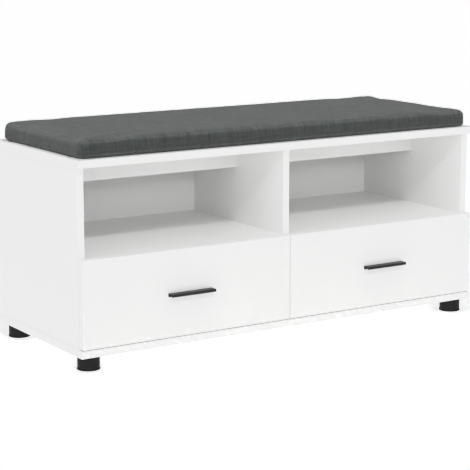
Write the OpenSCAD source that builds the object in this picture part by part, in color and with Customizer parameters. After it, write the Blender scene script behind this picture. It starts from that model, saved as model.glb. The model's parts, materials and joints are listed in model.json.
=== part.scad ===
// Entryway bench: a white board carcass with two open compartments over two drawers. It stands on four
// round feet and carries a padded fabric cushion.
// The origin is on the floor, under the middle of the bounding box. +Z is up and the drawers open
// towards -Y. A "depth" is a distance behind the front plane, which the drawer fronts, the top panel and
// the bottom panel share.

/* [Bench] */
// Width over the top panel
bench_w = 1000; // [900:10:1200]
// Depth of the top panel
bench_d = 380; // [370:5:420]
// Height of the carcass, from the floor to the top of the top panel
carcass_top_z = 426; // [420:1:460]
// Thickness of the boards
board_t = 15; // [15:1:16]
// How far the side panels stand in from the ends of the top panel
side_inset = 4; // [1:1:8]
// How far the edges of the side panels and shelves stand behind the front plane
edge_recess = 17; // [17:1:20]
// Height of the top of the shelves
shelf_top_z = 228; // [224:1:236]
// Thickness of the back boards
back_t = 3; // [3:1:4]

/* [Rails] */
// Height of each rail under the top panel
rail_h = 60; // [50:1:70]
// Depth of a rail's front face
rail_depth = 195; // [180:1:210]

/* [Drawers] */
// Gap between the two drawer fronts, and under them
front_gap = 2; // [2:0.5:3]
// Height of the sides of a drawer
drawer_h = 120; // [110:1:130]
// Length of the sides of a drawer
drawer_l = 320; // [316:1:330]
// Height of the underside of a drawer above the bottom panel
drawer_lift = 15; // [13:1:18]
// Length of the runners
runner_l = 300; // [290:1:300]

/* [Handles] */
// Length of a handle
handle_l = 105; // [102:1:140]
// How far a handle stands out from its drawer front
handle_reach = 17; // [15:1:20]
// Height of a handle's mounting flange
handle_flange_h = 7; // [7:0.5:9]
// Height of a handle's front lip
handle_lip_h = 6; // [5:0.5:8]
// Thickness of a handle's wall
handle_t = 2; // [1.5:0.1:2.5]
// Distance between a handle's two screws
handle_pitch = 96; // [64:16:96]

/* [Feet] */
// Height of a foot
foot_h = 30; // [28:1:40]
// Diameter of a foot where it meets the bottom panel
foot_top_d = 46; // [40:1:50]
// Diameter of a foot's flared base
foot_base_d = 48; // [40:1:52]
// Distance from the edges of the bottom panel to the middle of a foot
foot_inset = 31; // [28:1:40]

/* [Cushion] */
// Thickness of the cushion, from the top panel to its top
cushion_h = 40; // [30:1:60]
// How far the cushion's ends stand in from the ends of the top panel
cushion_end_inset = 4; // [2:1:12]
// How far the cushion stands in from the front and the back of the top panel
cushion_front_inset = 3; // [2:1:12]
// Radius of the cushion's upright corners
cushion_corner_r = 22; // [18:1:40]
// Radius of the cushion's upper edge
cushion_top_r = 14; // [8:1:16]
// Radius of the cushion's lower edge
cushion_base_r = 6; // [3:1:8]
// Thickness of the cushion's cover
cover_t = 1.2; // [0.8:0.1:2]

/* [Hidden] */
$fn = 48;

board_colour = [0.93, 0.93, 0.92];
steel_colour = [0.72, 0.73, 0.75];
runner_colour = [0.88, 0.88, 0.88];
black_colour = [0.09, 0.09, 0.09];
fabric_colour = [0.35, 0.37, 0.36];

// Clearance around a fastener in its hole
hole_gap = 0.1;
// Clearance between flat pieces that slide into each other
slip_gap = 0.2;
// How far a cut runs past the face that it opens
cut_past = 1;

// Carcass
front_y = (handle_reach - bench_d) / 2;
half_w = bench_w / 2;
side_outer_x = half_w - side_inset;
side_inner_x = side_outer_x - board_t;
divider_x = board_t / 2;
wall_mid_x = side_outer_x - board_t / 2;
bay_mid_x = (divider_x + side_inner_x) / 2;
floor_board_z = foot_h + board_t;
top_under_z = carcass_top_z - board_t;
shelf_under_z = shelf_top_z - board_t;
back_depth = bench_d - back_t;

// Carcass screws: [diameter, from, to] of each step, with the head's face at 0
panel_screw = [[9, -4, 0], [6.4, -15, -4], [5, -50, -15]];
panel_screw_socket = [4.6, 2.5];
wall_screw_depths = [60, bench_d - 50];
rail_screw_spread = 140;

// Dowels
dowel_d = 8;
dowel_l = 25;
dowel_in_face = 7;
wall_dowel_depths = [110, bench_d - 100];
shelf_dowel_depths = [150, 240];

// Cam fittings of the shelves, and the smaller ones of the drawers. A bolt's steps start at the face
// that it is screwed into.
cam_d = 15;
cam_h = 12.5;
cam_offset = 24;
cam_channel_d = 7;
cam_bolt = [[5, -7, 0], [6, 0, 17], [3.5, 17, 21], [6, 21, 25]];
shelf_cam_depths = [70, bench_d - 70];
small_cam_d = 12;
small_cam_h = 10;
small_cam_channel_d = 6.2;
small_cam_bolt = [[5, -9, 0], [5, 0, 17], [3, 17, 21], [5.2, 21, 24.6]];

// Nails of the back boards
nail = [[4, -0.8, 0], [1.6, -20, -0.8]];
nail_heights = [floor_board_z + 30, 160, 290, top_under_z - 25];
nail_edge_x = 4;
nail_shelf_spread = 130;

// Feet
foot_screw = [[8, -3, 0], [4, -25, -3]];
foot_screw_z = foot_h - 13;
foot_well_d = 14;
foot_flare_h = 4;
foot_edge_r = 1.5;

// Cushion and its tapes
tape_t = 1.2;
tape_size = [80, 25];
tape_inset = 70;
cushion_base_z = carcass_top_z + tape_t;
cushion_top_z = carcass_top_z + cushion_h;

// Drawer box, for the drawer on the right
drawer_t = 12;
runner_gap = 12.5;
drawer_inner_x = divider_x + runner_gap;
drawer_outer_x = side_inner_x - runner_gap;
drawer_z = floor_board_z + drawer_lift;
drawer_back_depth = board_t + drawer_l;
drawer_fixing_heights = [30, 90];
drawer_bottom_t = 3;
drawer_bottom_lift = 10;
groove_depth = 5;
back_screw = [[7, -2.5, 0], [3.5, -35, -2.5]];

// Handle
handle_rise = 2;
handle_mid_x = (front_gap / 2 + side_outer_x) / 2;
handle_z = (floor_board_z + front_gap + shelf_top_z) / 2 + handle_rise;
handle_pad_w = 8;
handle_pad_t = 5;
handle_screw = [[8, 0, 2.5], [4, -board_t - 4, 0]];

// Runners. Across the gap beside a drawer, positions count from the wall of the bay, and heights count
// from the underside of the drawer.
sheet_t = 1.2;
track_bottom = 1;
track_top = 23;
track_reach = 10;
track_start = 20;
runner_top = 19;
runner_reach = 2.6;
runner_seat = 10;
roller_r = 7.5;
roller_w = 7;
roller_height = 10;
track_roller_from = 2.5;
runner_roller_from = 3;
track_roller_depth = track_start + 10;
runner_roller_depth = board_t + runner_l - 10;
axle_d = 4;
axle_shoulder_d = 8;
axle_head_d = 7;
axle_head_t = 0.8;
axle_gap = 0.4;
runner_screw = [[6, -sheet_t, 0], [3, -sheet_t - 7, -sheet_t]];
track_screw_depths = [90, 170, 290];
track_screw_height = 12;
runner_screw_depths = [60, 160, 260];
runner_screw_height = 5.5;

function depth_y(depth) = front_y + depth;

// ---------------------------------------------------------------------------------- shared shapes

// A board between two x, two depths and two heights
module board(x, depth, z) {
    translate([x[0], depth_y(depth[0]), z[0]])
        cube([x[1] - x[0], depth[1] - depth[0], z[1] - z[0]]);
}

// A turned piece along Z, from a list of [diameter, from, to]. A gap makes the hole that it fits.
module turned(steps, gap = 0) {
    for (step = steps)
        translate([0, 0, step[1] - gap])
            cylinder(d = step[0] + 2 * gap, h = step[2] - step[1] + 2 * gap);
}

// A dowel along Z that reaches dowel_in_face below the plane z = 0
module dowel(gap = 0) {
    translate([0, 0, -dowel_in_face - gap])
        cylinder(d = dowel_d + 2 * gap, h = dowel_l + 2 * gap);
}

// A profile drawn in X and Z, drawn out between two depths
module along_depth(from, to) {
    translate([0, depth_y(to), 0])
        rotate([90, 0, 0])
            linear_extrude(to - from)
                children();
}

// The bay on the left mirrors the bay on the right
module in_bay(bay) {
    if (bay == "left")
        mirror([1, 0, 0]) children();
    else
        children();
}

// At one wall of the bay, with x = 0 on the wall and +X into the bay
module at_wall(end) {
    if (end == "inner")
        translate([divider_x, 0, 0]) children();
    else
        translate([side_inner_x, 0, 0]) mirror([1, 0, 0]) children();
}

// ---------------------------------------------------------------------------- places of fasteners

module at_wall_tops(depths, z) {
    for (x = [-wall_mid_x, 0, wall_mid_x], depth = depths)
        translate([x, depth_y(depth), z]) children();
}

module at_top_dowels() {
    at_wall_tops(wall_dowel_depths, top_under_z) mirror([0, 0, 1]) children();
}

module at_bottom_dowels() {
    at_wall_tops(wall_dowel_depths, floor_board_z) children();
}

module at_top_screws() {
    at_wall_tops(wall_screw_depths, carcass_top_z) children();
    for (bay = ["left", "right"], spread = [-rail_screw_spread, rail_screw_spread])
        in_bay(bay)
            translate([bay_mid_x + spread, depth_y(rail_depth + board_t / 2), carcass_top_z]) children();
}

module at_bottom_screws() {
    at_wall_tops(wall_screw_depths, foot_h) mirror([0, 0, 1]) children();
}

// Along X into the end of a shelf, at one wall of the bay
module at_shelf_end(end, depths) {
    at_wall(end)
        for (depth = depths)
            translate([0, depth_y(depth), shelf_top_z - board_t / 2])
                rotate([0, 90, 0]) children();
}

module at_rail_end(end) {
    at_wall(end)
        translate([0, depth_y(rail_depth + board_t / 2), top_under_z - rail_h / 2])
            rotate([0, 90, 0]) children();
}

module at_shelf_cams(end) {
    at_wall(end)
        for (depth = shelf_cam_depths)
            translate([cam_offset, depth_y(depth), shelf_under_z]) children();
}

module at_feet() {
    for (x = [foot_inset - half_w, half_w - foot_inset], depth = [foot_inset, bench_d - foot_inset])
        translate([x, depth_y(depth), 0]) children();
}

module at_foot_screws() {
    at_feet() translate([0, 0, foot_screw_z]) mirror([0, 0, 1]) children();
}

// Nails of the back board on the right
module at_back_nails() {
    nail_places = concat(
        [for (z = nail_heights) [nail_edge_x, z]],
        [for (z = nail_heights) [wall_mid_x, z]],
        [for (spread = [-nail_shelf_spread, 0, nail_shelf_spread])
            [bay_mid_x + spread, shelf_top_z - board_t / 2]]
    );
    for (place = nail_places)
        translate([place[0], depth_y(bench_d), place[1]])
            rotate([-90, 0, 0]) children();
}

module at_track_screws(end) {
    at_wall(end)
        for (depth = track_screw_depths)
            translate([sheet_t, depth_y(depth), drawer_z + track_screw_height])
                rotate([0, 90, 0]) children();
}

module at_runner_screws(end) {
    at_wall(end)
        for (depth = runner_screw_depths)
            translate([runner_gap - sheet_t, depth_y(depth), drawer_z + runner_screw_height])
                rotate([0, -90, 0]) children();
}

// Along the depth, from the back of the drawer front into the front end of a drawer side
module at_drawer_bolts(end) {
    at_wall(end)
        for (height = drawer_fixing_heights)
            translate([runner_gap + drawer_t / 2, depth_y(board_t), drawer_z + height])
                rotate([-90, 0, 0]) children();
}

// On the inner face of a drawer side, with +Z into the side
module at_drawer_cams(end) {
    at_wall(end)
        for (height = drawer_fixing_heights)
            translate([runner_gap + drawer_t, depth_y(board_t + cam_offset), drawer_z + height])
                rotate([0, -90, 0]) children();
}

module at_drawer_back_screws(end) {
    at_wall(end)
        for (height = drawer_fixing_heights)
            translate([runner_gap, depth_y(drawer_back_depth - drawer_t / 2), drawer_z + height])
                rotate([0, -90, 0]) children();
}

module at_handle_screws() {
    for (spread = [-handle_pitch / 2, handle_pitch / 2])
        translate([handle_mid_x + spread, depth_y(board_t), handle_z - handle_flange_h / 2])
            rotate([-90, 0, 0]) children();
}

// ----------------------------------------------------------------------------------------- carcass

module top_panel() {
    color(board_colour)
        difference() {
            board([-half_w, half_w], [0, bench_d], [top_under_z, carcass_top_z]);
            at_top_dowels() dowel(hole_gap);
            at_top_screws() turned(panel_screw, hole_gap);
        }
}

module bottom_panel() {
    color(board_colour)
        difference() {
            board([-half_w, half_w], [0, bench_d], [foot_h, floor_board_z]);
            at_bottom_dowels() dowel(hole_gap);
            at_bottom_screws() turned(panel_screw, hole_gap);
            at_foot_screws() turned(foot_screw, hole_gap);
        }
}

// Holes in a wall of the bay on the right
module wall_holes(end) {
    at_shelf_end(end, shelf_dowel_depths) dowel(hole_gap);
    at_shelf_end(end, shelf_cam_depths) turned(cam_bolt, hole_gap);
    at_rail_end(end) dowel(hole_gap);
    at_track_screws(end) turned(runner_screw, hole_gap);
}

module wall_edge_holes() {
    at_top_dowels() dowel(hole_gap);
    at_bottom_dowels() dowel(hole_gap);
    at_top_screws() turned(panel_screw, hole_gap);
    at_bottom_screws() turned(panel_screw, hole_gap);
}

module side_panel() {
    color(board_colour)
        difference() {
            board([side_inner_x, side_outer_x], [edge_recess, back_depth], [floor_board_z, top_under_z]);
            wall_holes("outer");
            wall_edge_holes();
            at_back_nails() turned(nail, hole_gap);
        }
}

module centre_divider() {
    color(board_colour)
        difference() {
            board([-divider_x, divider_x], [edge_recess, back_depth], [floor_board_z, top_under_z]);
            wall_edge_holes();
            for (bay = ["left", "right"])
                in_bay(bay) {
                    wall_holes("inner");
                    at_back_nails() turned(nail, hole_gap);
                }
        }
}

module shelf() {
    color(board_colour)
        difference() {
            board([divider_x, side_inner_x], [edge_recess, back_depth], [shelf_under_z, shelf_top_z]);
            for (end = ["inner", "outer"]) {
                at_shelf_end(end, shelf_dowel_depths) dowel(hole_gap);
                at_shelf_end(end, shelf_cam_depths) cylinder(d = cam_channel_d, h = cam_offset);
                at_shelf_cams(end)
                    translate([0, 0, -hole_gap])
                        cylinder(d = cam_d + 2 * hole_gap, h = cam_h + 2 * hole_gap);
            }
            at_back_nails() turned(nail, hole_gap);
        }
}

module top_rail() {
    color(board_colour)
        difference() {
            board([divider_x, side_inner_x], [rail_depth, rail_depth + board_t],
                [top_under_z - rail_h, top_under_z]);
            for (end = ["inner", "outer"])
                at_rail_end(end) dowel(hole_gap);
            at_top_screws() turned(panel_screw, hole_gap);
        }
}

module back_board() {
    color(board_colour)
        difference() {
            board([slip_gap, side_outer_x], [back_depth, bench_d],
                [floor_board_z + slip_gap, top_under_z - slip_gap]);
            at_back_nails() turned(nail, hole_gap);
        }
}

module back_nails() {
    color(steel_colour)
        for (bay = ["left", "right"])
            in_bay(bay) at_back_nails() turned(nail);
}

module panel_screws() {
    color(steel_colour) {
        at_top_screws() panel_screw_shape();
        at_bottom_screws() panel_screw_shape();
    }
}

module panel_screw_shape() {
    difference() {
        turned(panel_screw);
        translate([0, 0, -panel_screw_socket[1]])
            cylinder(d = panel_screw_socket[0], h = panel_screw_socket[1] + cut_past, $fn = 6);
    }
}

module panel_dowels() {
    color("burlywood") {
        at_top_dowels() dowel();
        at_bottom_dowels() dowel();
        for (bay = ["left", "right"], end = ["inner", "outer"])
            in_bay(bay) {
                at_shelf_end(end, shelf_dowel_depths) dowel();
                at_rail_end(end) dowel();
            }
    }
}

// A cam lock on the plane z = 0, with its channel towards -X and a screwdriver's cross underneath
module cam_lock(d, h, channel_d, channel_z) {
    slot = [0.6 * d, 1.4, 2];
    difference() {
        cylinder(d = d, h = h);
        translate([-d, 0, channel_z])
            rotate([0, 90, 0])
                cylinder(d = channel_d, h = d + channel_d / 2);
        for (turn = [0, 90])
            rotate([0, 0, turn])
                translate([-slot[0] / 2, -slot[1] / 2, -cut_past])
                    cube([slot[0], slot[1], slot[2] + cut_past]);
    }
}

module shelf_cam_fittings() {
    color(steel_colour)
        for (bay = ["left", "right"], end = ["inner", "outer"])
            in_bay(bay) {
                at_shelf_end(end, shelf_cam_depths) turned(cam_bolt);
                at_shelf_cams(end) cam_lock(cam_d, cam_h, cam_channel_d, board_t / 2);
            }
}

// -------------------------------------------------------------------------------------------- feet

module feet() {
    color(black_colour)
        at_feet()
            difference() {
                rotate_extrude()
                    polygon([
                        [0, 0],
                        [foot_base_d / 2 - foot_edge_r, 0],
                        [foot_base_d / 2, foot_edge_r],
                        [foot_base_d / 2, foot_flare_h - foot_edge_r],
                        [foot_top_d / 2, foot_flare_h],
                        [foot_top_d / 2, foot_h],
                        [0, foot_h]
                    ]);
                translate([0, 0, -cut_past])
                    cylinder(d = foot_well_d, h = cut_past + foot_screw_z - foot_screw[0][1]);
                cylinder(d = foot_screw[1][0] + 2 * hole_gap, h = foot_h + cut_past);
            }
}

module foot_screws() {
    color(steel_colour)
        at_foot_screws() turned(foot_screw);
}

// ----------------------------------------------------------------------------------------- cushion

// Half the section of the cushion through an upright corner, from its axis outwards
function cushion_section(r, h, top_r, base_r, steps = 6) = concat(
    [[0, 0]],
    [for (i = [0:steps]) let (a = 90 * i / steps) [r - base_r + base_r * sin(a), base_r * (1 - cos(a))]],
    [for (i = [0:steps]) let (a = 90 * i / steps) [r - top_r + top_r * cos(a), h - top_r * (1 - sin(a))]],
    [[0, h]]
);

// The cushion's solid, taken in by a distance on every side
module cushion_slab(taken_in) {
    corner_x = half_w - cushion_end_inset - cushion_corner_r;
    corner_y = bench_d / 2 - cushion_front_inset - cushion_corner_r;
    translate([0, depth_y(bench_d / 2), cushion_base_z + taken_in])
        hull()
            for (x = [-corner_x, corner_x], y = [-corner_y, corner_y])
                translate([x, y, 0])
                    rotate_extrude($fn = 32)
                        polygon(cushion_section(
                            cushion_corner_r - taken_in,
                            cushion_top_z - cushion_base_z - 2 * taken_in,
                            cushion_top_r - taken_in,
                            cushion_base_r - taken_in
                        ));
}

module cushion_cover() {
    color(fabric_colour)
        difference() {
            cushion_slab(0);
            cushion_slab(cover_t);
        }
}

module cushion_foam() {
    color("khaki")
        cushion_slab(cover_t + slip_gap);
}

module cushion_grip_tapes() {
    color(black_colour)
        for (x = [tape_inset - half_w, half_w - tape_inset - tape_size[0]],
                depth = [tape_inset, bench_d - tape_inset - tape_size[1]])
            translate([x, depth_y(depth), carcass_top_z])
                cube([tape_size[0], tape_size[1], tape_t]);
}

// ----------------------------------------------------------------------------------------- runners

// An axle along X: a shoulder against the sheet at x = 0, the roller's seat, and a rivet head
module roller_axle(seat_end) {
    shoulder = seat_end - roller_w - axle_gap;
    rotate([0, 90, 0]) {
        cylinder(d = axle_shoulder_d, h = shoulder);
        cylinder(d = axle_d, h = seat_end + axle_gap + axle_head_t);
        translate([0, 0, seat_end + axle_gap])
            cylinder(d = axle_head_d, h = axle_head_t);
    }
}

// The channel on the wall of the bay, with its roller's axle at the front
module track(end) {
    color(runner_colour)
        difference() {
            at_wall(end) {
                along_depth(track_start, track_start + runner_l)
                    translate([0, drawer_z])
                        polygon([
                            [0, track_bottom],
                            [track_reach, track_bottom],
                            [track_reach, track_bottom + sheet_t],
                            [sheet_t, track_bottom + sheet_t],
                            [sheet_t, track_top - sheet_t],
                            [track_reach, track_top - sheet_t],
                            [track_reach, track_top],
                            [0, track_top]
                        ]);
                translate([sheet_t, depth_y(track_roller_depth), drawer_z + roller_height])
                    roller_axle(track_roller_from + roller_w - sheet_t);
            }
            at_track_screws(end) turned(runner_screw, hole_gap);
        }
}

// The angle on the side of the drawer: a seat under the side, and a flange that runs on the track's roller
module runner(end) {
    web_x = runner_gap - sheet_t;
    color(runner_colour)
        difference() {
            at_wall(end) {
                along_depth(board_t, board_t + runner_l)
                    translate([0, drawer_z])
                        polygon([
                            [web_x, -sheet_t],
                            [runner_gap + runner_seat, -sheet_t],
                            [runner_gap + runner_seat, 0],
                            [runner_gap, 0],
                            [runner_gap, runner_top],
                            [runner_reach, runner_top],
                            [runner_reach, runner_top - sheet_t],
                            [web_x, runner_top - sheet_t]
                        ]);
                translate([web_x, depth_y(runner_roller_depth), drawer_z + roller_height])
                    mirror([1, 0, 0])
                        roller_axle(web_x - runner_roller_from);
            }
            at_runner_screws(end) turned(runner_screw, hole_gap);
        }
}

module roller(end, from, depth) {
    color("white")
        at_wall(end)
            translate([from, depth_y(depth), drawer_z + roller_height])
                rotate([0, 90, 0])
                    difference() {
                        cylinder(r = roller_r, h = roller_w);
                        translate([0, 0, -cut_past])
                            cylinder(d = axle_d + hole_gap, h = roller_w + 2 * cut_past);
                    }
}

module track_screws() {
    color(steel_colour)
        for (bay = ["left", "right"], end = ["inner", "outer"])
            in_bay(bay) at_track_screws(end) turned(runner_screw);
}

module runner_screws() {
    color(steel_colour)
        for (end = ["inner", "outer"])
            at_runner_screws(end) turned(runner_screw);
}

// ----------------------------------------------------------------------------------------- drawers

// The space that a drawer's bottom sheet takes in its grooves
module drawer_bottom_space(gap) {
    x = [drawer_inner_x + drawer_t - groove_depth, drawer_outer_x - drawer_t + groove_depth];
    depth = [board_t - groove_depth, drawer_back_depth - drawer_t + groove_depth];
    z = [drawer_z + drawer_bottom_lift, drawer_z + drawer_bottom_lift + drawer_bottom_t];
    board([x[0] - gap, x[1] + gap], [depth[0] - gap, depth[1] + gap], [z[0] - gap, z[1] + gap]);
}

module drawer_front() {
    color(board_colour)
        difference() {
            board([front_gap / 2, side_outer_x], [0, board_t], [floor_board_z + front_gap, shelf_top_z]);
            drawer_bottom_space(slip_gap / 2);
            for (end = ["inner", "outer"])
                at_drawer_bolts(end) turned(small_cam_bolt, hole_gap);
            at_handle_screws() turned(handle_screw, hole_gap);
        }
}

module drawer_side(end) {
    x0 = end == "inner" ? drawer_inner_x : drawer_outer_x - drawer_t;
    color(board_colour)
        difference() {
            board([x0, x0 + drawer_t], [board_t, drawer_back_depth], [drawer_z, drawer_z + drawer_h]);
            drawer_bottom_space(slip_gap / 2);
            at_drawer_bolts(end)
                translate([0, 0, -hole_gap])
                    cylinder(d = small_cam_channel_d, h = cam_offset + hole_gap);
            at_drawer_cams(end)
                translate([0, 0, -hole_gap])
                    cylinder(d = small_cam_d + 2 * hole_gap, h = small_cam_h + 2 * hole_gap);
            at_drawer_back_screws(end) turned(back_screw, hole_gap);
            at_runner_screws(end) turned(runner_screw, hole_gap);
        }
}

module drawer_back() {
    color(board_colour)
        difference() {
            board([drawer_inner_x + drawer_t, drawer_outer_x - drawer_t],
                [drawer_back_depth - drawer_t, drawer_back_depth], [drawer_z, drawer_z + drawer_h]);
            drawer_bottom_space(slip_gap / 2);
            for (end = ["inner", "outer"])
                at_drawer_back_screws(end) turned(back_screw, hole_gap);
        }
}

module drawer_bottom() {
    color(board_colour)
        drawer_bottom_space(0);
}

// An upside-down J: a flange on the drawer front, a web on top and a shorter lip in front, with two
// threaded pads behind the web
module drawer_handle() {
    x0 = handle_mid_x - handle_l / 2;
    color(black_colour)
        difference() {
            union() {
                translate([x0, depth_y(-handle_t), handle_z - handle_flange_h])
                    cube([handle_l, handle_t, handle_flange_h]);
                translate([x0, depth_y(-handle_reach), handle_z - handle_t])
                    cube([handle_l, handle_reach, handle_t]);
                translate([x0, depth_y(-handle_reach), handle_z - handle_lip_h])
                    cube([handle_l, handle_t, handle_lip_h]);
                for (spread = [-handle_pitch / 2, handle_pitch / 2])
                    translate([handle_mid_x + spread - handle_pad_w / 2, depth_y(-handle_pad_t),
                            handle_z - handle_flange_h])
                        cube([handle_pad_w, handle_pad_t, handle_flange_h]);
            }
            at_handle_screws() turned(handle_screw, hole_gap);
        }
}

module handle_screws() {
    color(steel_colour)
        at_handle_screws() turned(handle_screw);
}

module drawer_cam_fittings() {
    color(steel_colour)
        for (end = ["inner", "outer"]) {
            at_drawer_bolts(end) turned(small_cam_bolt);
            at_drawer_cams(end)
                rotate([0, 0, 90])
                    cam_lock(small_cam_d, small_cam_h, small_cam_channel_d, drawer_t / 2);
        }
}

module drawer_back_screws() {
    color(steel_colour)
        for (end = ["inner", "outer"])
            at_drawer_back_screws(end) turned(back_screw);
}

// ---------------------------------------------------------------------------------------- assembly

top_panel();
bottom_panel();
centre_divider();
back_nails();
panel_screws();
panel_dowels();
shelf_cam_fittings();
feet();
foot_screws();
cushion_cover();
cushion_foam();
cushion_grip_tapes();
track_screws();
for (bay = ["left", "right"]) in_bay(bay) {
    side_panel();
    shelf();
    top_rail();
    back_board();
    drawer_front();
    drawer_back();
    drawer_bottom();
    drawer_handle();
    handle_screws();
    drawer_cam_fittings();
    drawer_back_screws();
    runner_screws();
    for (end = ["inner", "outer"]) {
        drawer_side(end);
        track(end);
        runner(end);
        roller(end, track_roller_from, track_roller_depth);
        roller(end, runner_roller_from, runner_roller_depth);
    }
}
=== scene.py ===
"""The entryway bench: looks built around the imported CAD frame. Metres, +Z up, drawers open towards -Y."""

import json
import math

import bmesh
import bpy
import numpy as np
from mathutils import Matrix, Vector
from mathutils.noise import noise


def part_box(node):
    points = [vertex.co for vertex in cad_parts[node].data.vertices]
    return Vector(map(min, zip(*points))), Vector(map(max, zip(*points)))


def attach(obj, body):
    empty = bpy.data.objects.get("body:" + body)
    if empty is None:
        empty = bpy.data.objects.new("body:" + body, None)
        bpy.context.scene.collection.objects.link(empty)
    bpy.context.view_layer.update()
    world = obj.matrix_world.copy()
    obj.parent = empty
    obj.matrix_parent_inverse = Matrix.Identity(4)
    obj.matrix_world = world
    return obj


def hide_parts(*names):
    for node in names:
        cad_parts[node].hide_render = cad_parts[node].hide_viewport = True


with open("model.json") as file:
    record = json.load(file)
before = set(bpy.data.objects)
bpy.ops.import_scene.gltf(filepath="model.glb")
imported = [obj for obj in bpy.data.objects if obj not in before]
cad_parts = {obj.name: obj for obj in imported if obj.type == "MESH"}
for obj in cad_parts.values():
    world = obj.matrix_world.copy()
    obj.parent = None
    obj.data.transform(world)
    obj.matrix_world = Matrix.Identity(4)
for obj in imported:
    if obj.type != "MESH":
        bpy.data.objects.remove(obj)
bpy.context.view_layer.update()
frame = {"nodes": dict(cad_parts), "record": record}

MM = 0.001

# ------------------------------------------------------------------------------------------- camera

CAMERA_PLACE = Vector((-1.9556, -2.9927, 0.8855))
CAMERA_TURN = 32.86         # degrees clockwise from +Y, seen from above
CAMERA_TILT = 10.86         # degrees below the horizon
CAMERA_LENS = 126.2         # mm, on a 36 mm sensor


def make_camera():
    data = bpy.data.cameras.new("camera")
    data.sensor_width = 36
    data.lens = CAMERA_LENS
    data.clip_end = 100
    camera = bpy.data.objects.new("camera", data)
    camera.location = CAMERA_PLACE
    camera.rotation_euler = (math.radians(90 - CAMERA_TILT), 0, math.radians(-CAMERA_TURN))
    bpy.context.scene.collection.objects.link(camera)
    bpy.context.scene.camera = camera


# ----------------------------------------------------------------------------- lights and backdrop

# The studio's big soft boxes: degrees to the right of the front, degrees above the horizon,
# sharpness, strength
SOFT_BOXES = (
    (-75, 10, 3, 1.9),
    (0, 88, 3, 1.45),
    (0, 8, 14, 0.25),
)
# Its lamps: name, degrees to the right of the front, degrees above the horizon, width in degrees, power
LAMPS = (
    ("key", -14, 40, 4, 1.25),
    ("low_front", -4, 17, 8, 0.52),
)
FLOOR_SIZE = 60
FLOOR_GREY = 0.65
FLOOR_GLOW = 0.85           # the floor's own light, which keeps it white in the picture
WHITE_LIGHT = 1.6           # the light that comes out pure white
# How the picture's brightness follows the light's, with a soft shoulder below white
RESPONSE = (
    (0.1, 0.085), (0.2, 0.175), (0.35, 0.315), (0.5, 0.445), (0.75, 0.605), (0.95, 0.73), (1.15, 0.81),
    (1.3, 0.835), (1.45, 0.87), (1.55, 0.985),
)


def towards(turn, height):
    """The direction in which light travels from a place at this turn and height, in degrees."""
    turn = math.radians(turn)
    height = math.radians(height)
    return -Vector((
        math.sin(turn) * math.cos(height),
        -math.cos(turn) * math.cos(height),
        math.sin(height),
    ))


def make_sun(name, turn, height, spread, power):
    data = bpy.data.lights.new(name, "SUN")
    data.energy = power
    data.angle = math.radians(spread)
    light = bpy.data.objects.new(name, data)
    light.rotation_euler = towards(turn, height).to_track_quat("-Z", "Y").to_euler()
    bpy.context.scene.collection.objects.link(light)


def make_world():
    """One soft lobe of light around the direction of each soft box."""
    world = bpy.data.worlds.new("studio")
    world.use_nodes = True
    graph = NodeGraph(world.node_tree)
    direction = graph.node("ShaderNodeTexCoord").outputs["Generated"]
    light = 0.0
    for turn, height, sharpness, strength in SOFT_BOXES:
        facing = graph.node("ShaderNodeVectorMath", {0: direction, 1: -towards(turn, height)},
                            operation="DOT_PRODUCT").outputs["Value"]
        lobe = graph.maths("POWER", graph.maths("MAXIMUM", facing, 0.0), sharpness)
        light = graph.maths("MULTIPLY_ADD", lobe, strength, light)
    background = world.node_tree.nodes["Background"]
    graph.put(background.inputs["Strength"], light)
    background.inputs["Color"].default_value = (1, 1, 1, 1)
    bpy.context.scene.world = world


def set_picture_response():
    settings = bpy.context.scene.view_settings
    settings.view_transform = "Standard"
    settings.use_curve_mapping = True
    mapping = settings.curve_mapping
    mapping.white_level = (WHITE_LIGHT, WHITE_LIGHT, WHITE_LIGHT)
    for light, brightness in RESPONSE:
        mapping.curves[3].points.new(light / WHITE_LIGHT, brightness)
    mapping.update()


def make_floor():
    bpy.ops.mesh.primitive_plane_add(size=FLOOR_SIZE, location=(0, 0, 0))
    floor = bpy.context.object
    floor.name = "floor"
    graph = Graph("pale_floor")
    graph.set("Base Color", (FLOOR_GREY, FLOOR_GREY, FLOOR_GREY, 1))
    graph.set("Roughness", 0.9)
    graph.set("Emission Color", (1, 1, 1, 1))
    graph.set("Emission Strength", FLOOR_GLOW)
    floor.data.materials.append(graph.material)


# ---------------------------------------------------------------------------------- material graphs

class NodeGraph:
    """Adds nodes to a tree. An input takes a number, a colour or another node's output."""

    def __init__(self, tree):
        self.tree = tree

    def node(self, kind, inputs=None, **settings):
        node = self.tree.nodes.new(kind)
        for name, value in settings.items():
            setattr(node, name, value)
        for name, value in (inputs or {}).items():
            self.put(node.inputs[name], value)
        return node

    def put(self, socket, value):
        if isinstance(value, bpy.types.NodeSocket):
            self.tree.links.new(value, socket)
        else:
            socket.default_value = value

    def maths(self, operation, *values):
        return self.node("ShaderNodeMath", dict(enumerate(values)), operation=operation).outputs[0]

    def split(self, vector):
        return self.node("ShaderNodeSeparateXYZ", {"Vector": vector}).outputs

    def join(self, x, y, z):
        return self.node("ShaderNodeCombineXYZ", {"X": x, "Y": y, "Z": z}).outputs[0]

    def noise(self, vector, scale, detail=2.0, roughness=0.5):
        inputs = {"Vector": vector, "Scale": scale, "Detail": detail, "Roughness": roughness}
        return self.node("ShaderNodeTexNoise", inputs).outputs["Fac"]

    def spread(self, value, low, high, to_low=0.0, to_high=1.0):
        inputs = {"Value": value, "From Min": low, "From Max": high, "To Min": to_low, "To Max": to_high}
        return self.node("ShaderNodeMapRange", inputs, interpolation_type="SMOOTHSTEP").outputs["Result"]

    def blend(self, share, first, second):
        node = self.node("ShaderNodeMix", data_type="RGBA")
        for index, value in ((0, share), (6, first), (7, second)):
            self.put(node.inputs[index], value)
        return node.outputs[2]


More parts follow.
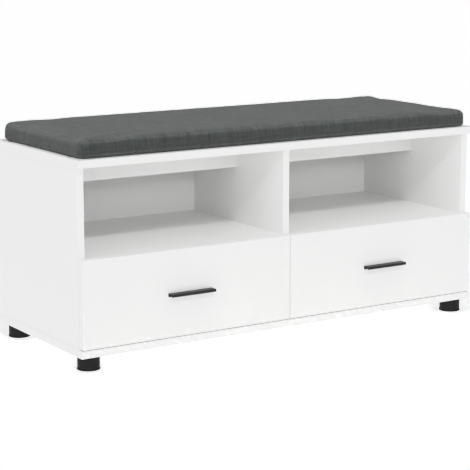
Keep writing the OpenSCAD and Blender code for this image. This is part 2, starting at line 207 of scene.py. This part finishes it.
class Graph(NodeGraph):
    """The nodes of one material, around its Principled shader."""

    def __init__(self, name):
        self.material = bpy.data.materials.new(name)
        self.material.use_nodes = True
        super().__init__(self.material.node_tree)
        self.shader = self.tree.nodes["Principled BSDF"]
        self.coordinates = self.node("ShaderNodeTexCoord").outputs["Object"]

    def set(self, name, value):
        self.put(self.shader.inputs[name], value)

    def bump(self, height, distance, strength=1.0):
        inputs = {"Height": height, "Distance": distance, "Strength": strength}
        self.set("Normal", self.node("ShaderNodeBump", inputs).outputs["Normal"])


def white_board():
    """Melamine foil: a fine orange-peel texture under a satin finish, with the faintest clouding."""
    graph = Graph("white_board")
    grain = graph.noise(graph.coordinates, 900, 3, 0.6)
    cloud = graph.noise(graph.coordinates, 9, 2)
    graph.set("Base Color", graph.blend(cloud, (0.895, 0.895, 0.89, 1), (0.92, 0.92, 0.915, 1)))
    graph.set("Roughness", graph.spread(grain, 0.3, 0.7, 0.42, 0.52))
    graph.bump(grain, 0.00004, 0.5)
    return graph.material


def painted_fibreboard():
    """Thin fibreboard with a painted face, a little duller and rougher than the foil."""
    graph = Graph("painted_fibreboard")
    fibres = graph.noise(graph.coordinates, 420, 4, 0.7)
    graph.set("Base Color", graph.blend(fibres, (0.87, 0.87, 0.865, 1), (0.91, 0.91, 0.905, 1)))
    graph.set("Roughness", 0.62)
    graph.bump(fibres, 0.00008, 0.5)
    return graph.material


def powder_coat(name, dark, light, roughness):
    """Baked powder on steel, with a fine orange peel."""
    graph = Graph(name)
    peel = graph.noise(graph.coordinates, 1500, 2)
    graph.set("Base Color", graph.blend(peel, dark, light))
    graph.set("Roughness", graph.spread(peel, 0.35, 0.65, roughness, roughness + 0.12))
    graph.set("Specular IOR Level", 0.24)
    graph.bump(peel, 0.00005, 0.6)
    return graph.material


def moulded_plastic():
    """Matt black plastic with the spark-eroded texture of a mould."""
    graph = Graph("moulded_plastic")
    spark = graph.noise(graph.coordinates, 2200, 3, 0.7)
    scuff = graph.noise(graph.coordinates, 60, 5, 0.7)
    graph.set("Base Color", graph.blend(scuff, (0.006, 0.006, 0.0065, 1), (0.012, 0.012, 0.0125, 1)))
    graph.set("Specular IOR Level", 0.14)
    graph.set("Roughness", graph.spread(scuff, 0.3, 0.7, 0.42, 0.6))
    graph.bump(spark, 0.00006, 0.6)
    return graph.material


def zinc_plate():
    graph = Graph("zinc_plate")
    tone = graph.noise(graph.coordinates, 240, 3, 0.6)
    graph.set("Base Color", graph.blend(tone, (0.55, 0.56, 0.58, 1), (0.74, 0.74, 0.75, 1)))
    graph.set("Metallic", 1.0)
    graph.set("Roughness", graph.spread(tone, 0.3, 0.7, 0.24, 0.42))
    return graph.material


def nylon():
    graph = Graph("nylon")
    tone = graph.noise(graph.coordinates, 300, 2)
    graph.set("Base Color", graph.blend(tone, (0.80, 0.80, 0.78, 1), (0.86, 0.86, 0.84, 1)))
    graph.set("Roughness", 0.35)
    graph.bump(tone, 0.00003, 0.4)
    return graph.material


def beech():
    graph = Graph("beech")
    x, y, z = graph.split(graph.coordinates)
    grain = graph.noise(graph.join(graph.maths("MULTIPLY", x, 0.1), y, z), 900, 4, 0.6)
    graph.set("Base Color", graph.blend(grain, (0.50, 0.34, 0.20, 1), (0.72, 0.55, 0.37, 1)))
    graph.set("Roughness", 0.6)
    return graph.material


def foam():
    graph = Graph("foam")
    cells = graph.node("ShaderNodeTexVoronoi", {"Vector": graph.coordinates, "Scale": 900.0})
    graph.set("Base Color", (0.80, 0.74, 0.48, 1))
    graph.set("Roughness", 0.95)
    graph.bump(cells.outputs["Distance"], 0.0004)
    return graph.material


YARN_PITCH = 1.2 * MM
FABRIC_DARK = (0.050, 0.056, 0.054, 1)
FABRIC_LIGHT = (0.116, 0.125, 0.121, 1)
# Painted shade: the colour that the cushion's upright sides are darkened towards, for the shade of light
# falling mostly from above
FABRIC_SIDE_SHADE = (0.018, 0.021, 0.020, 1)
SIDE_SHADE_SHARE = 0.6             # how far the painted shade darkens an upright face towards its colour


def woven_fabric():
    """Linen-look plain weave: mottled yarns along X and Y on top, which run on down the cushion's sides."""
    graph = Graph("woven_fabric")
    x, y, z = graph.split(graph.coordinates)
    normal = graph.split(graph.node("ShaderNodeNewGeometry").outputs["Normal"])
    # Along the cloth from the middle of the top: down the front and back, and down the ends
    down_front = graph.maths("SUBTRACT", graph.maths("ABSOLUTE", y), z)
    down_end = graph.maths("SUBTRACT", graph.maths("ABSOLUTE", x), z)
    on_end = graph.spread(graph.maths("ABSOLUTE", normal[0]), 0.45, 0.75)

    def pick(at_front, at_end):
        return graph.node("ShaderNodeMix", {0: on_end, 2: at_front, 3: at_end}).outputs[0]

    across = pick(x, y)
    along = pick(down_front, down_end)

    def yarns(fine, long, fine_scale, long_scale, seed):
        """Streaks that are narrow along one direction of the cloth and long along the other."""
        place = graph.join(graph.maths("MULTIPLY", fine, fine_scale),
                           graph.maths("MULTIPLY", long, long_scale), seed)
        return graph.noise(place, 1.0, 3, 0.62)

    warp = graph.maths("ADD", graph.maths("MULTIPLY", yarns(across, along, 520, 26, 3.0), 0.6),
                       graph.maths("MULTIPLY", yarns(across, along, 190, 12, 7.0), 0.4))
    weft = graph.maths("ADD", graph.maths("MULTIPLY", yarns(along, across, 520, 22, 13.0), 0.6),
                       graph.maths("MULTIPLY", yarns(along, across, 190, 9, 17.0), 0.4))
    mottle = graph.maths("MULTIPLY_ADD", warp, 0.58, graph.maths("MULTIPLY", weft, 0.42))
    shade = graph.spread(mottle, 0.38, 0.62)
    cloth = graph.blend(shade, FABRIC_DARK, FABRIC_LIGHT)
    # Painted shade: the upright sides are darkened to a deeper tone than the top, standing in for their
    # lesser share of the light from above
    upright = graph.spread(graph.maths("ABSOLUTE", normal[2]), 0.97, 0.0)
    graph.set("Base Color", graph.blend(graph.maths("MULTIPLY", upright, SIDE_SHADE_SHARE), cloth, FABRIC_SIDE_SHADE))
    graph.set("Roughness", 0.9)
    graph.set("Sheen Weight", 0.18)
    graph.set("Sheen Roughness", 0.5)
    graph.set("Specular IOR Level", 0.15)

    def rib(distance):
        return graph.maths("SINE", graph.maths("MULTIPLY", distance, 2 * math.pi / YARN_PITCH))

    weave = graph.maths("MULTIPLY", rib(across), rib(along))
    height = graph.maths("MULTIPLY_ADD", weave, 0.35, graph.maths("MULTIPLY", mottle, 2.2))
    graph.bump(height, 0.0003, 0.8)
    return graph.material


def hook_tape():
    graph = Graph("hook_tape")
    hooks = graph.node("ShaderNodeTexVoronoi", {"Vector": graph.coordinates, "Scale": 1100.0})
    graph.set("Base Color", (0.02, 0.02, 0.02, 1))
    graph.set("Roughness", 0.85)
    graph.bump(hooks.outputs["Distance"], 0.0005)
    return graph.material


MATERIALS = {
    "white_board": white_board(),
    "back_board": painted_fibreboard(),
    "beech": beech(),
    "black_metal": powder_coat(
        "black_powder_coat", (0.008, 0.008, 0.0085, 1), (0.016, 0.016, 0.017, 1), 0.38),
    "black_plastic": moulded_plastic(),
    "zinc": zinc_plate(),
    "runner_steel": powder_coat(
        "white_powder_coat", (0.78, 0.78, 0.775, 1), (0.83, 0.83, 0.825, 1), 0.34),
    "roller_plastic": nylon(),
    "grey_fabric": woven_fabric(),
    "foam": foam(),
    "tape": hook_tape(),
}


def dress_nodes():
    """Gives each CAD node the material of its slot."""
    for node, slot in SLOTS.items():
        mesh = frame["nodes"][node].data
        mesh.materials.clear()
        mesh.materials.append(MATERIALS[slot])


# ---------------------------------------------------------------------------------- rigid pieces

SIDES = ("left", "right")
ENDS = ("inner", "outer")
SLOTS = {part["node"]: part["material_slot"] for part in frame["record"]["subparts"]}
BODIES = {node: body for body, nodes in frame["record"]["behaviour"]["bodies"].items() for node in nodes}
BOARDS = [node for node, slot in SLOTS.items() if slot == "white_board"]
THIN_BOARDS = [node for node, slot in SLOTS.items() if slot == "back_board"]
RUNNER_SHEETS = [node for node, slot in SLOTS.items() if slot == "runner_steel"]
HANDLES = [f"{side}_drawer_handle" for side in SIDES]
ROLLERS = [
    f"{side}_{end}_{kind}_roller" for side in SIDES for end in ENDS for kind in ("track", "runner")
]
SHARP = math.radians(50)            # a corner sharper than this is eased
TURNED_SHARP = math.radians(40)     # a turned edge sharper than this keeps its crease
SAME_PLACE = 0.001 * MM             # vertices nearer than this are one
FLAT = math.radians(0.2)            # faces that bend by less than this are one
BOARD_EDGE_R = 0.6 * MM
SHEET_EDGE_R = 0.25 * MM            # thin boards and the runners' steel
HANDLE_EDGE_R = 0.45 * MM
TAPE_EDGE_R = 0.3 * MM


def new_piece(name, mesh, *nodes):
    """A visible piece that stands in for these nodes, on the first one's body and in its slot."""
    piece = bpy.data.objects.new(name, mesh)
    bpy.context.scene.collection.objects.link(piece)
    mesh.materials.clear()
    mesh.materials.append(MATERIALS[SLOTS[nodes[0]]])
    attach(piece, BODIES[nodes[0]])
    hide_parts(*nodes)
    return piece


def ease_edges(node, radius, segments=2, shortest=4 * MM):
    """Copies a node's mesh and rounds its long outer edges, as an edge band or a press leaves them."""
    work = bmesh.new()
    work.from_mesh(frame["nodes"][node].data)
    bmesh.ops.remove_doubles(work, verts=work.verts, dist=SAME_PLACE)
    bmesh.ops.dissolve_limit(
        work, angle_limit=FLAT, use_dissolve_boundaries=False,
        verts=work.verts, edges=work.edges,
    )
    edges = [
        edge for edge in work.edges
        if edge.is_manifold and edge.is_convex
        and edge.calc_face_angle() > SHARP and edge.calc_length() > shortest
    ]
    bmesh.ops.bevel(
        work, geom=edges, offset=radius, offset_type="OFFSET", segments=segments, profile=0.5,
        affect="EDGES", clamp_overlap=True,
    )
    mesh = bpy.data.meshes.new(f"{node}_eased")
    work.to_mesh(mesh)
    work.free()
    new_piece(f"{node}_finished", mesh, node)


def turn_profile(work, profile, place, axis, steps=64):
    """Adds a closed turned solid: a profile of (radius, height), ring by ring, around an axis."""
    turned = Vector((0, 0, 1)).rotation_difference(axis).to_matrix()
    rings = []
    for radius, height in profile:
        ring = [
            work.verts.new(place + turned @ Vector((
                radius * math.cos(2 * math.pi * step / steps),
                radius * math.sin(2 * math.pi * step / steps),
                height,
            )))
            for step in range(steps)
        ]
        rings.append(ring)
    for index, ring in enumerate(rings):
        after = rings[(index + 1) % len(rings)]
        for step in range(steps):
            following = (step + 1) % steps
            face = work.faces.new((ring[step], ring[following], after[following], after[step]))
            face.smooth = True


def arc(middle, radius, start, end, steps=4):
    """Points of a rounded corner of a profile, between two angles in degrees."""
    angles = [math.radians(start + (end - start) * step / steps) for step in range(steps + 1)]
    return [(middle[0] + radius * math.cos(a), middle[1] + radius * math.sin(a)) for a in angles]


def turned_mesh(name, profile, places, axis):
    """One mesh of the same turned solid at several places."""
    work = bmesh.new()
    for place in places:
        turn_profile(work, profile, place, axis)
    bmesh.ops.recalc_face_normals(work, faces=work.faces)
    mesh = bpy.data.meshes.new(name)
    work.to_mesh(mesh)
    work.free()
    mesh.set_sharp_from_angle(angle=TURNED_SHARP)
    return mesh


FOOT_R = 23 * MM
FOOT_BASE_R = 24 * MM
FOOT_WELL_R = 7 * MM
FOOT_WELL_H = 20 * MM
FOOT_BORE_R = 2.1 * MM
FOOT_ROUND_R = 1.2 * MM
FOOT_EDGE = 0.6 * MM        # the chamfer at the top
FOOT_FLARE = (              # from the base up: distance outside the barrel, height
    (1.0 * MM, 2.4 * MM), (0.7 * MM, 3.1 * MM), (0.15 * MM, 3.9 * MM), (0, 4.8 * MM),
)


def make_feet():
    """Four turned feet: a straight barrel that flares to a rounded base, with a well for its screw."""
    low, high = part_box("feet")
    top = high[2]
    profile = (
        [(FOOT_WELL_R, 0.5 * MM), (FOOT_WELL_R + 0.5 * MM, 0)]
        + arc((FOOT_BASE_R - FOOT_ROUND_R, FOOT_ROUND_R), FOOT_ROUND_R, -90, 0)
        + [(FOOT_R + outside, height) for outside, height in FOOT_FLARE]
        + [(FOOT_R, top - FOOT_EDGE), (FOOT_R - FOOT_EDGE, top)]
        + [(FOOT_BORE_R, top), (FOOT_BORE_R, FOOT_WELL_H), (FOOT_WELL_R, FOOT_WELL_H)]
    )
    places = [
        Vector((x, y, 0))
        for x in (low[0] + FOOT_BASE_R, high[0] - FOOT_BASE_R)
        for y in (low[1] + FOOT_BASE_R, high[1] - FOOT_BASE_R)
    ]
    new_piece("feet_turned", turned_mesh("feet_turned", profile, places, Vector((0, 0, 1))), "feet")


ROLLER_BORE_R = 2.05 * MM
ROLLER_ROUND_R = 0.8 * MM
ROLLER_DISH = 0.6 * MM      # the depth of the dish in each face
ROLLER_HUB_R = 3.6 * MM
ROLLER_RIM_R = 5.9 * MM
ROLLER_SLOPE = 0.3 * MM     # how far the dish's walls lean


def make_roller(node):
    """A nylon wheel with rounded shoulders and a hub that stands in a shallow dish on each face."""
    low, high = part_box(node)
    width = high[0] - low[0]
    radius = (high[2] - low[2]) / 2
    dish = [
        (ROLLER_HUB_R, 0), (ROLLER_HUB_R + ROLLER_SLOPE, ROLLER_DISH),
        (ROLLER_RIM_R - ROLLER_SLOPE, ROLLER_DISH), (ROLLER_RIM_R, 0),
    ]
    profile = (
        [(ROLLER_BORE_R, 0)]
        + dish
        + arc((radius - ROLLER_ROUND_R, ROLLER_ROUND_R), ROLLER_ROUND_R, -90, 0)
        + arc((radius - ROLLER_ROUND_R, width - ROLLER_ROUND_R), ROLLER_ROUND_R, 0, 90)
        + [(out, width - depth) for out, depth in reversed(dish)]
        + [(ROLLER_BORE_R, width)]
    )
    place = Vector((low[0], (low[1] + high[1]) / 2, (low[2] + high[2]) / 2))
    name = f"{node}_turned"
    new_piece(name, turned_mesh(name, profile, [place], Vector((1, 0, 0))), node)


# ----------------------------------------------------------------------------------------- cushion

VOXEL = 6 * MM
SWELL = 3.5 * MM            # how much smaller than the finished cushion the stuffed shape starts
SWELL_CAP = 5 * MM          # the furthest that a point of the cover may move as the cushion fills
PRESSURE = 4.0
LAST_FRAME = 20
COVER_T = 2 * MM            # how far the foam lies inside the cover
SLACK_WAVES = ((0.5, 22), (0.18, 60))   # how far the cover rides up and down in mm, waves per metre
CUSHION_CORNER_R = 20 * MM
CUSHION_TOP_R = 11 * MM
CUSHION_BASE_R = 4 * MM


def rounded_outline(half_x, half_y, radius, steps=8):
    """The outline of a rectangle with rounded corners, anticlockwise."""
    outline = []
    for quarter, (side_x, side_y) in enumerate(((1, 1), (-1, 1), (-1, -1), (1, -1))):
        middle = (side_x * (half_x - radius), side_y * (half_y - radius))
        outline += arc(middle, radius, 90 * quarter, 90 * quarter + 90, steps)
    return outline


def stuffed_shape(low, high):
    """The closed shape that the cover is sewn to, before it fills: a slab with rounded edges."""
    middle_y = (low[1] + high[1]) / 2
    half_x = (high[0] - low[0]) / 2 - SWELL
    half_y = (high[1] - low[1]) / 2 - SWELL
    height = high[2] - low[2] - SWELL
    section = (
        arc((CUSHION_BASE_R, CUSHION_BASE_R), CUSHION_BASE_R, 270, 180, 5)
        + arc((CUSHION_TOP_R, height - CUSHION_TOP_R), CUSHION_TOP_R, 180, 90, 7)
    )
    work = bmesh.new()
    rings = []
    for inset, rise in section:
        outline = rounded_outline(half_x - inset, half_y - inset, max(CUSHION_CORNER_R - inset, 2 * MM))
        rings.append([work.verts.new((x, middle_y + y, low[2] + rise)) for x, y in outline])
    for ring, after in zip(rings, rings[1:]):
        for index, vertex in enumerate(ring):
            following = (index + 1) % len(ring)
            work.faces.new((vertex, ring[following], after[following], after[index]))
    work.faces.new(reversed(rings[0]))
    work.faces.new(rings[-1])
    mesh = bpy.data.meshes.new("cushion")
    work.to_mesh(mesh)
    work.free()
    return mesh


def apply_modifiers(piece):
    """Replaces the piece's mesh by what its modifiers make of it."""
    graph = bpy.context.evaluated_depsgraph_get()
    mesh = bpy.data.meshes.new_from_object(piece.evaluated_get(graph))
    piece.modifiers.clear()
    piece.data = mesh


def read_vertices(mesh, what="co"):
    """The vertices' places, or their normals, as rows of an array."""
    values = np.empty(3 * len(mesh.vertices), dtype=np.float32)
    mesh.vertices.foreach_get(what, values)
    return values.reshape(-1, 3)


def write_vertices(mesh, places):
    mesh.vertices.foreach_set("co", places.astype(np.float32).ravel())
    mesh.update()


def fill_by_cloth(piece, floor_z):
    """Blows the cover up with Blender's cloth, holds its underside down and caps how far it moves."""
    start = read_vertices(piece.data)
    held = piece.vertex_groups.new(name="held")
    held.add(np.nonzero(start[:, 2] < floor_z + MM)[0].tolist(), 1.0, "REPLACE")
    cloth = piece.modifiers.new("fill", "CLOTH")
    cloth.settings.use_pressure = True
    cloth.settings.uniform_pressure_force = PRESSURE
    cloth.settings.effector_weights.gravity = 0
    cloth.settings.vertex_group_mass = "held"
    cloth.point_cache.frame_start = 1
    cloth.point_cache.frame_end = LAST_FRAME
    scene = bpy.context.scene
    for number in range(1, LAST_FRAME + 1):
        scene.frame_set(number)
    graph = bpy.context.evaluated_depsgraph_get()
    filled = read_vertices(piece.evaluated_get(graph).data)
    piece.modifiers.clear()
    scene.frame_set(1)
    move = filled - start
    length = np.maximum(np.linalg.norm(move, axis=1, keepdims=True), 1e-9)
    places = start + move * SWELL_CAP * np.tanh(length / SWELL_CAP) / length
    places[:, 2] = np.maximum(places[:, 2], floor_z)
    write_vertices(piece.data, places)


def slacken_cover(mesh, floor_z):
    """Lets the cover ride up and down on the foam by fractions of a millimetre, except underneath."""
    places = read_vertices(mesh)
    normals = read_vertices(mesh, "normal")
    slack = np.array([
        sum(ride * noise(Vector(place) * waves) for ride, waves in SLACK_WAVES)
        for place in places.tolist()
    ])
    slack[places[:, 2] < floor_z + 2 * MM] = 0
    write_vertices(mesh, places + normals * slack[:, None] * MM)


def make_foam_core(cover):
    """The foam inside, which fills the cover to within its thickness."""
    mesh = cover.data.copy()
    write_vertices(mesh, read_vertices(mesh) - read_vertices(mesh, "normal") * COVER_T)
    core = new_piece("foam_core", mesh, "cushion_foam")
    mesh.polygons.foreach_set("use_smooth", [True] * len(mesh.polygons))


def make_cushion():
    low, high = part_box("cushion_cover")
    piece = new_piece("cushion", stuffed_shape(low, high), "cushion_cover")
    remesh = piece.modifiers.new("remesh", "REMESH")
    remesh.mode = "VOXEL"
    remesh.voxel_size = VOXEL
    apply_modifiers(piece)
    fill_by_cloth(piece, low[2])
    make_foam_core(piece)
    smooth = piece.modifiers.new("smooth", "SUBSURF")
    smooth.levels = 1
    apply_modifiers(piece)
    slacken_cover(piece.data, low[2])
    piece.data.polygons.foreach_set("use_smooth", [True] * len(piece.data.polygons))
    piece.data.materials.clear()
    piece.data.materials.append(MATERIALS["grey_fabric"])


# -------------------------------------------------------------------------------------------- build

dress_nodes()
make_feet()
for node in ROLLERS:
    make_roller(node)
ease_edges("cushion_grip_tapes", TAPE_EDGE_R)
make_cushion()
for node in BOARDS:
    ease_edges(node, BOARD_EDGE_R)
for node in THIN_BOARDS + RUNNER_SHEETS:
    ease_edges(node, SHEET_EDGE_R, segments=1)
for node in HANDLES:
    ease_edges(node, HANDLE_EDGE_R, segments=3)
make_camera()
make_world()
set_picture_response()
for lamp in LAMPS:
    make_sun(*lamp)
make_floor()
